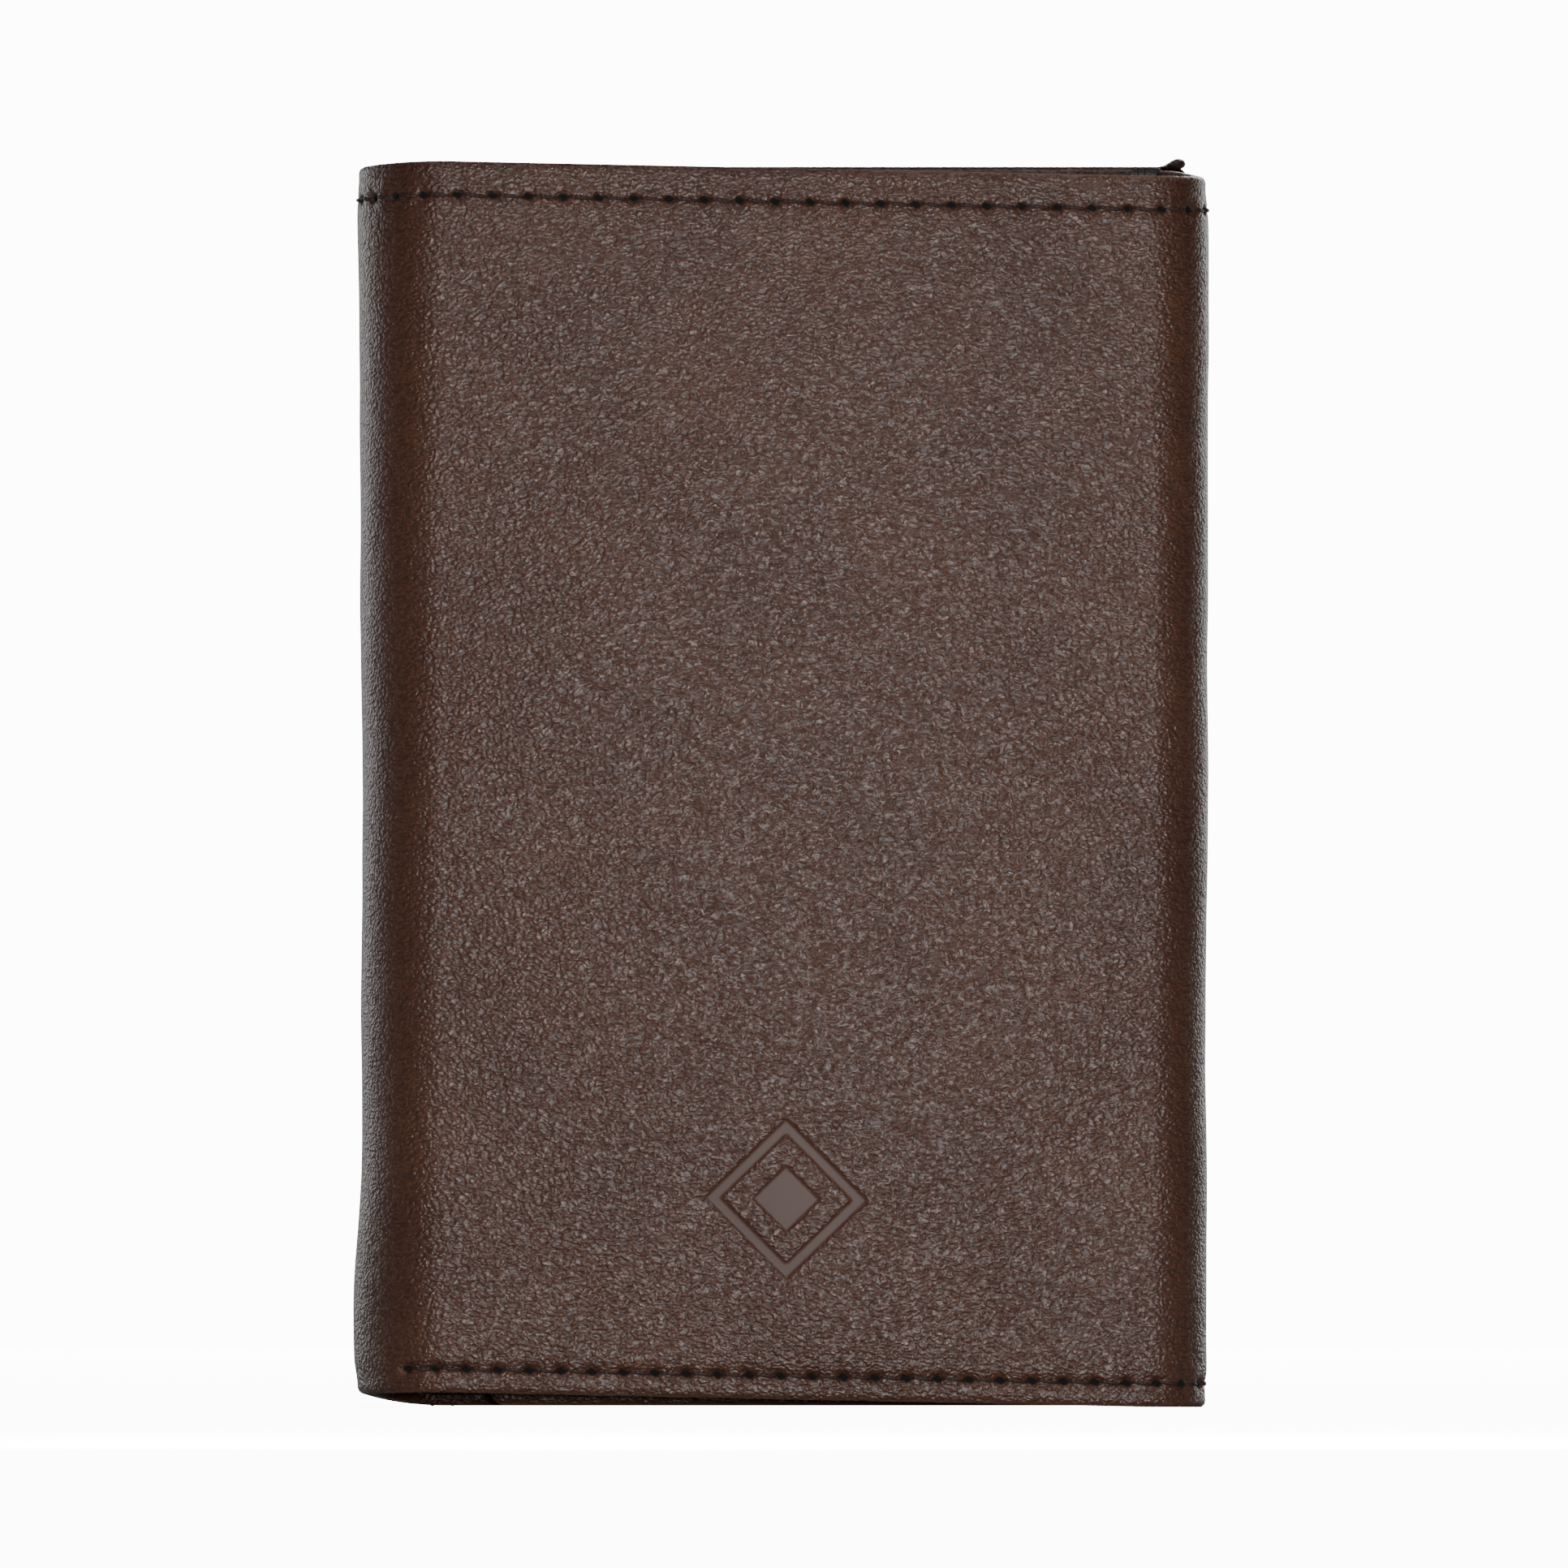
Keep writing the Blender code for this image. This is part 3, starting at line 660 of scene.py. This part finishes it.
def make_film():
    """Clear soft vinyl film: see-through, glossy, with the faint waves of a rolled sheet."""
    material, tree, shader = new_material("clear_vinyl_film")
    place = node(tree, "ShaderNodeTexCoord").outputs["Object"]
    wave = node(tree, "ShaderNodeTexNoise", {"Vector": place, "Scale": 90.0, "Detail": 2.0})
    bump = node(tree, "ShaderNodeBump", {"Height": wave.outputs["Fac"], "Strength": 0.35, "Distance": 0.0006})
    link(tree, bump.outputs[0], shader.inputs["Normal"])
    shader.inputs["Base Color"].default_value = linear("#A8AAA8")
    shader.inputs["Roughness"].default_value = 0.10
    shader.inputs["IOR"].default_value = 1.53
    shader.inputs["Alpha"].default_value = 0.12
    return material


# The last colour of each leather is its pale edge colour, partly rubbed dye and partly a painted highlight
MATERIALS = {
    # The third colour of each leather is the painted shade inside the needle holes
    "shell": make_leather("waxed_cowhide", "#402418", "#4B2D1E", "#060302", 0.41, "#7C6254"),
    "pocket": make_leather("matt_lining_cowhide", "#2A1911", "#352117", "#060302", 0.48, "#5C4336"),
    "twill": make_twill(),
    "waxed_thread": make_thread(),
    "board": make_board(),
    "film": make_film(),
}


def give(obj, material):
    obj.data.materials.clear()
    obj.data.materials.append(material)
    return obj


# ------------------------------------------------------------------ bodies along the strip
APEX_OUT = (OUTER_FOLD_LOW[0] * MM, 0.0, 0.0)
INNER_MIDDLE_Y = (FRONT + INNER_BACK) / 2
APEX_IN = (INNER_FOLD_HIGH[0] * MM, INNER_MIDDLE_Y * MM, 0.0)
LAP = 1.5
STRETCHES = (
    # label, from, to, body, and for a bent stretch the second body, start and end of the bend
    ("flap", wrap.flap_edge, wrap.flap - LAP, "flap", None, None, None),
    ("outer_fold_back", wrap.flap - LAP, wrap.outer_apex, "outer_spine", "flap", APEX_OUT,
     (FLAT_LEFT * MM, BACK * MM, 0.0)),
    ("outer_fold_front", wrap.outer_apex, wrap.left + LAP, "middle_panel", "outer_spine",
     (FLAT_LEFT * MM, FRONT * MM, 0.0), APEX_OUT),
    ("middle", wrap.left + LAP, wrap.right - LAP, "middle_panel", None, None, None),
    ("inner_fold_front", wrap.right - LAP, wrap.inner_apex, "middle_panel", "inner_spine",
     (FLAT_RIGHT * MM, FRONT * MM, 0.0), APEX_IN),
    ("inner_fold_back", wrap.inner_apex, wrap.inner_panel + LAP, "inner_spine", "inner_panel", APEX_IN,
     (FLAT_RIGHT * MM, INNER_BACK * MM, 0.0)),
    ("inner", wrap.inner_panel + LAP, wrap.tip, "inner_panel", None, None, None),
)


def carry(obj, stretch):
    """Attach a piece on a straight stretch to its body; a piece on a bent stretch only has its transform baked in.
    """
    label, low, high, body, second, start, end = stretch
    if second is None:
        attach(obj, body)
    else:
        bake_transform(obj)


SEAM_BANDS = ((0.4, 4.4, 0.22), (HEIGHT - 4.6, HEIGHT - 0.4, 0.22))
MARK_BAND = ((MARK_ROW - 7.6, MARK_ROW + 7.6, 0.15),)
MARK_COLUMNS = (MARK_U - 7.6, MARK_U + 7.6, 0.15)
CORNER = 1.2


def build_leather():
    """The outer leather, one piece for each stretch of the strip."""
    stands_for = {
        "flap": "shell_flap", "middle": "shell_middle", "inner": "shell_inner",
        "outer_fold_front": "outer_fold_leather", "outer_fold_back": "outer_fold_leather",
        "inner_fold_front": "inner_fold_leather", "inner_fold_back": "inner_fold_leather",
    }
    for stretch in STRETCHES:
        label, low, high = stretch[:3]
        free = low if label == "flap" else high if label == "inner" else None
        bands = SEAM_BANDS + (MARK_BAND if label == "middle" else ())
        obj = strip_solid(label + "_leather", low, high, graded_rows(bands), 0.0, LEATHER,
                          relief=leather_relief, round_end=free, corner=CORNER,
                          fine=MARK_COLUMNS if label == "middle" else None)
        give(obj, MATERIALS["shell"])
        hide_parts(stands_for[label])
        carry(obj, stretch)


def build_layers():
    """Lining and backing under the leather, cut a little short of its edges."""
    layers = (("lining", "lining_cloth", "twill", 1.0), ("backing", "inner_leather", "pocket", 1.0))
    for kind, slot, finish, margin in layers:
        low_corner, high_corner = box_mm(kind + "_middle")
        depth = low_corner[1] - FRONT
        thickness = high_corner[1] - low_corner[1]
        rows = graded_rows((), 4.0)
        cloths, narrow = [], []
        for stretch in STRETCHES:
            label, low, high = stretch[:3]
            free = None
            if label == "flap":
                low, free = low + margin, low + margin
            if label == "inner":
                high, free = high - margin, high - margin
            obj = strip_solid(f"{label}_{kind}", low, high, rows, depth, thickness,
                              top=lambda u: np.full_like(u, HEIGHT - margin),
                              bottom=lambda u: np.full_like(u, margin), round_end=free, corner=CORNER,
                              step=0.6)
            give(obj, MATERIALS[finish])
            fold = label.startswith("outer_fold") or label.startswith("inner_fold")
            node_name = label.rsplit("_", 1)[0] + "_" + kind if fold else kind + "_" + label
            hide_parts(node_name)
            if kind == "lining":
                cut = laid_length(low, high, depth + thickness / 2)
                (cloths if cut > 10.0 else narrow).append((obj, cut))
            carry(obj, stretch)


def build_pockets():
    """Three card pockets on the flap and three on the inner panel, each with a turned, dipped mouth."""
    for panel, body in (("flap", "flap"), ("inner", "inner_panel")):
        for number in (1, 2, 3):
            name = f"{panel}_card_pocket_{number}"
            low, high = box_mm(name)
            outer = BACK if panel == "flap" else INNER_BACK
            depth = outer - high[1]
            if panel == "flap":
                first, last = wrap.flap - (high[0] - FLAT_LEFT), wrap.flap - (low[0] - FLAT_LEFT)
            else:
                first = wrap.inner_panel + FLAT_RIGHT - high[0]
                last = wrap.inner_panel + FLAT_RIGHT - low[0]
            foot, mouth = low[2], high[2]

            def mouth_line(u, first=first, last=last, mouth=mouth):
                share = np.clip((u - first) / (last - first), 0, 1)
                return mouth - 2.0 * np.sin(math.pi * share) ** 2

            def foot_line(u, foot=foot):
                return np.full_like(u, foot)

            rows = graded_rows((), 3.0)
            obj = strip_solid(name + "_leather", first, last, rows, depth, high[1] - low[1], top=mouth_line,
                              bottom=foot_line, step=0.8)
            give(obj, MATERIALS["pocket"])
            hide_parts(name)
            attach(obj, body)


BACKING_FACE = box_mm("backing_middle")[1][1] - FRONT
INSIDE_PIECES = {
    "flap": ["flap_card_pocket_1", "flap_card_pocket_2", "flap_card_pocket_3"],
    "inner": ["inner_card_pocket_1", "inner_card_pocket_2", "inner_card_pocket_3"],
    "middle": ["id_window_frame"],
}
MOUTH_DIP = 2.0


def inside_depth(label, u, row):
    """Depth of the innermost face at a place, where the threads show on the inside."""
    depth = BACKING_FACE
    x, y = wrap.place(u, 0.0)
    for name in INSIDE_PIECES.get(label, ()):
        low, high = box_mm(name)
        head = high[2] - (MOUTH_DIP if "pocket" in name else 0.0)
        if low[0] <= x <= high[0] and low[2] <= row <= head:
            far = high[1] - FRONT if label == "middle" else float(y) - low[1]
            depth = max(depth, far)
    return depth


def build_seams():
    """Threads of every seam on the outer leather, one piece for each stretch they cross."""
    stands_for = {
        ("top", "middle"): "seam_top_middle", ("bottom", "middle"): "seam_bottom_middle",
        ("top", "outer_fold_front"): "outer_fold_seam_top", ("top", "outer_fold_back"): "outer_fold_seam_top",
        ("top", "inner_fold_front"): "inner_fold_seam_top", ("top", "inner_fold_back"): "inner_fold_seam_top",
        ("bottom", "inner_fold_front"): "inner_fold_seam_bottom",
        ("bottom", "inner_fold_back"): "inner_fold_seam_bottom",
        ("flap_side", "flap"): "seam_flap", ("inner_side", "inner"): "seam_inner",
    }
    seams = {"top": top_seam, "bottom": bottom_seam, "flap_bottom": flap_bottom_seam,
             "flap_side": flap_side_seam, "inner_side": inner_side_seam}
    for seam_name, seam in seams.items():
        for stretch in STRETCHES:
            label, low, high = stretch[:3]
            paths = []
            for start in seam.holes[:-1]:
                at = start + seam.stitch / 2 if seam.level else seam.at
                if low <= at < high:
                    paths.append(stitch_path(seam, start))
            if seam_name == "bottom" and label in ("outer_fold_front", "middle"):
                for count in (0, 1):
                    at = seam.holes[count] + seam.stitch / 2
                    if low <= at < high:
                        paths.append(stitch_path(seam, seam.holes[count], offset=0.45))
            if not paths:
                continue
            inner_paths = [stitch_path(seam, start, inside=lambda u, row, label=label: inside_depth(label, u, row))
                           for start in seam.holes[:-1]
                           if low <= (start + seam.stitch / 2 if seam.level else seam.at) < high]
            carry(thread_object(f"{label}_{seam_name}_inside_stitches", inner_paths), stretch)
            obj = thread_object(f"{label}_{seam_name}_stitches", paths)
            if (seam_name, label) in stands_for:
                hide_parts(stands_for[(seam_name, label)])
            carry(obj, stretch)


def build_corner_tack():
    """A bar tack over the inner panel's top edge, where its pockets meet the small fold."""
    paths = []
    for k in range(13):
        u = wrap.inner_panel - 1.2 + 0.215 * k
        lean = 0.10 * math.sin(2.0 * k)
        arch = ((BACKING_FACE - 0.3, -2.3), (BACKING_FACE + 0.14, -1.9), (BACKING_FACE + 0.14, -1.1),
                (BACKING_FACE - 0.9, -0.75), (LEATHER + 0.5, -0.35), (LEATHER, 0.0), (0.5, 0.07),
                (-0.12, -0.3), (-0.12, -1.3), (0.15, -1.5))
        path = []
        for step, (depth, drop) in enumerate(arch):
            x, y = wrap.place(u + lean * step / 9, depth)
            path.append((float(x), float(y), float(height_at(u, HEIGHT + drop))))
        paths.append(path)
    carry(thread_object("inner_fold_bar_tack", paths, 0.14), STRETCHES[5])


def build_turned_corner():
    """The turned end of the flap's leather, standing a little proud of its free corner."""
    rings, sides = 18, 16
    vertices, faces, flat = [], [], []
    for i in range(rings + 1):
        t = i / rings
        x = 33.4 + 2.25 * t
        end = math.sqrt(max(1 - ((t - 0.7) / 0.3) ** 2, 0.003)) if t > 0.7 else 1.0
        tall = (0.14 + 0.34 * float(smooth(t, 0.0, 0.70))) * end
        for k in range(sides):
            angle = 2 * math.pi * k / sides
            height = HEIGHT - 0.40 + 0.32 * float(smooth(t, 0.0, 0.70)) + tall * math.sin(angle)
            vertices.append((x, BACK - 1.4 + 0.9 * end * math.cos(angle), height))
            flat.append((x, 3.0 * k / sides))
    for i in range(rings):
        for k in range(sides):
            n = (k + 1) % sides
            faces.append((i * sides + k, i * sides + n, (i + 1) * sides + n, (i + 1) * sides + k))
    faces.append(tuple(range(sides)))
    faces.append(tuple(rings * sides + k for k in range(sides)))
    tab = new_object("flap_turned_corner", np.array(vertices) * MM, faces)
    tidy_mesh(tab)
    set_grain_map(tab, flat)
    give(tab, MATERIALS["shell"])
    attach(tab, "flap")


def build_knots():
    """Two melted thread ends under the foot of the outer fold."""
    stretch = STRETCHES[1]
    knots = []
    for x in (-31.4, -29.4):
        u = wrap.flap + FLAT_LEFT - x
        turns = []
        for k in range(25):
            angle = 2 * math.pi * k / 12
            place_x, place_y = wrap.place(u + 0.16 * math.cos(angle), 0.7 + 0.02 * k)
            turns.append((float(place_x), float(place_y), 0.22 + 0.10 * math.sin(angle)))
        knots.append(turns)
    carry(thread_object("outer_fold_thread_ends", knots, 0.13), stretch)


def build_window():
    """The ID window: its CAD film, and a leather frame with softened edges."""
    low, high = box_mm("id_window_frame")
    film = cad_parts["id_window_film"]
    film.data.materials.clear()
    film.data.materials.append(MATERIALS["film"])
    border = 6.2
    curve = bpy.data.curves.new("window_frame_outline", "CURVE")
    curve.dimensions = "2D"
    curve.fill_mode = "BOTH"
    bevel = 0.18
    curve.extrude = ((high[1] - low[1]) / 2 - bevel) * MM
    curve.bevel_depth = bevel * MM
    curve.bevel_resolution = 2
    curve.offset = -bevel * MM
    for inset, radius in ((0.0, 1.0), (border, 4.0)):
        left, right = low[0] + inset, high[0] - inset
        bottom, top = low[2] + inset, high[2] - inset
        outline = []
        for x, z, start in ((right - radius, bottom + radius, -90), (right - radius, top - radius, 0),
                            (left + radius, top - radius, 90), (left + radius, bottom + radius, 180)):
            for step in range(9):
                angle = math.radians(start + step * 90 / 8)
                outline.append((x + radius * math.cos(angle), z + radius * math.sin(angle)))
        spline = curve.splines.new("POLY")
        spline.points.add(len(outline) - 1)
        for point, (x, z) in zip(spline.points, outline):
            point.co = (x * MM, z * MM, 0.0, 1.0)
        spline.use_cyclic_u = True
    source = bpy.data.objects.new("window_outline", curve)
    source.rotation_euler = (math.pi / 2, 0.0, 0.0)
    source.location = (0.0, (low[1] + high[1]) / 2 * MM, 0.0)
    bpy.context.scene.collection.objects.link(source)
    bpy.context.view_layer.update()
    evaluated = source.evaluated_get(bpy.context.evaluated_depsgraph_get())
    mesh = bpy.data.meshes.new_from_object(evaluated)
    mesh.transform(source.matrix_world)
    bpy.data.objects.remove(source, do_unlink=True)
    obj = bpy.data.objects.new("id_window_leather_frame", mesh)
    bpy.context.scene.collection.objects.link(obj)
    shape = bmesh.new()
    shape.from_mesh(mesh)
    bmesh.ops.remove_doubles(shape, verts=shape.verts, dist=1e-6)
    shape.to_mesh(mesh)
    shape.free()
    tidy_mesh(obj, 40.0)
    while mesh.uv_layers:
        mesh.uv_layers.remove(mesh.uv_layers[0])
    set_grain_map(obj, np.array([(v.co.x / MM, v.co.z / MM) for v in mesh.vertices]))
    give(obj, MATERIALS["pocket"])
    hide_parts("id_window_frame")
    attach(obj, "middle_panel")
    build_window_seam(low, high)


def build_window_seam(low, high):
    """Stitches down both sides and along the foot of the window frame."""
    face = high[1]
    inset = 2.5
    left, right, foot, head = low[0] + inset, high[0] - inset, low[2] + inset, high[2] - inset
    paths = []
    for (x0, z0), (x1, z1) in (((left, head), (left, foot)), ((left, foot), (right, foot)),
                               ((right, foot), (right, head))):
        length = math.hypot(x1 - x0, z1 - z0)
        count = int(round(length / STITCH))
        for k in range(count):
            path = []
            for t in np.linspace(0, 1, 7):
                share = (k + 0.07 + 0.86 * t) / count
                dive = 0.4 * (1 - math.sin(math.pi * t) ** 0.5)
                slant = 0.12 * (1 - 2 * t)
                x = x0 + (x1 - x0) * share + slant * (z1 - z0) / length
                z = z0 + (z1 - z0) * share - slant * (x1 - x0) / length
                path.append((x, face + 0.05 - dive, z))
            paths.append(path)
    obj = thread_object("id_window_stitches", paths)
    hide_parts("id_frame_seam")
    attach(obj, "middle_panel")


def finish_boards():
    for name in ("stiffener_middle", "stiffener_flap", "stiffener_inner"):
        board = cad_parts[name]
        board.data.materials.clear()
        board.data.materials.append(MATERIALS["board"])


# ------------------------------------------------------------------ camera, floor and light
def make_camera():
    camera = bpy.data.objects.new("camera", bpy.data.cameras.new("camera"))
    bpy.context.scene.collection.objects.link(camera)
    bpy.context.scene.camera = camera
    distance = 6.0
    view_width = 0.1387
    centre_height = 0.0552
    camera.location = (0.0, -distance, centre_height)
    camera.rotation_euler = (math.pi / 2, 0.0, 0.0)
    camera.data.sensor_width = 36.0
    camera.data.lens = 36.0 * (distance + FRONT * MM) / view_width
    camera.data.clip_start = 0.1
    camera.data.clip_end = 20.0


FLOOR_GLOW = 14.0
BACKDROP = 13.0


def make_floor():
    floor = new_object("floor", [(-0.6, -3.0, 0), (0.6, -3.0, 0), (0.6, 0.6, 0), (-0.6, 0.6, 0)],
                       [(0, 1, 2, 3)])
    material, tree, shader = new_material("studio_floor")
    ray = node(tree, "ShaderNodeLightPath")
    tone = node(tree, "ShaderNodeMapRange", {"Value": ray.outputs["Is Camera Ray"], "To Min": 0.5,
                                             "To Max": FLOOR_GLOW})
    matt = node(tree, "ShaderNodeBsdfDiffuse", {"Color": tone.outputs[0]})
    glow = node(tree, "ShaderNodeEmission", {"Strength": BACKDROP})
    share = node(tree, "ShaderNodeMapRange", {"Value": ray.outputs["Is Camera Ray"], "To Max": 0.8})
    mixed = node(tree, "ShaderNodeMixShader", {"Fac": share.outputs[0], 1: matt.outputs[0],
                                               2: glow.outputs[0]})
    output = tree.nodes["Material Output"]
    link(tree, mixed.outputs[0], output.inputs["Surface"])
    tree.nodes.remove(shader)
    floor.data.materials.append(material)


def add_light(name, location, target, size, power):
    light = bpy.data.lights.new(name, "AREA")
    light.shape = "RECTANGLE"
    light.size, light.size_y = size
    light.energy = power
    obj = bpy.data.objects.new(name, light)
    obj.location = location
    direction = Vector(target) - Vector(location)
    obj.rotation_euler = direction.to_track_quat("-Z", "Y").to_euler()
    bpy.context.scene.collection.objects.link(obj)
    return obj


def make_light():
    """A white studio: a broad soft box in front, and bright walls behind that light the rims."""
    world = bpy.data.worlds.new("studio")
    bpy.context.scene.world = world
    world.use_nodes = True
    tree = world.node_tree
    background = tree.nodes["Background"]
    ray = node(tree, "ShaderNodeLightPath")
    background.inputs["Color"].default_value = (1.0, 1.0, 1.0, 1.0)
    strength = node(tree, "ShaderNodeMapRange", {"Value": ray.outputs["Is Camera Ray"], "To Min": 0.10,
                                                 "To Max": BACKDROP})
    link(tree, strength.outputs[0], background.inputs["Strength"])
    add_light("front_soft_box", (0.018, -0.38, 0.005), (0.0, 0.0, 0.035), (0.09, 0.08), 1.8)
    add_light("front_fill", (0.0, -1.2, 0.35), (0.0, 0.0, 0.055), (0.7, 0.7), 1.0)
    add_light("grazing_key", (0.0, -0.60, 1.3), (0.0, 0.0, 0.05), (0.3, 0.3), 4.2)
    add_light("back_left_wall", (-0.65, 0.85, 0.1), (0.0, 0.0, 0.055), (0.6, 0.6), 2.9)
    add_light("back_right_wall", (0.60, 0.95, 0.1), (0.0, 0.0, 0.055), (0.6, 0.6), 3.7)
    add_light("back_soft_box", (0.1, 0.9, 0.5), (0.0, 0.0, 0.055), (0.5, 0.5), 6.0)


make_camera()
make_floor()
make_light()
build_leather()
build_layers()
build_pockets()
build_seams()
build_corner_tack()
build_turned_corner()
build_knots()
build_window()
finish_boards()
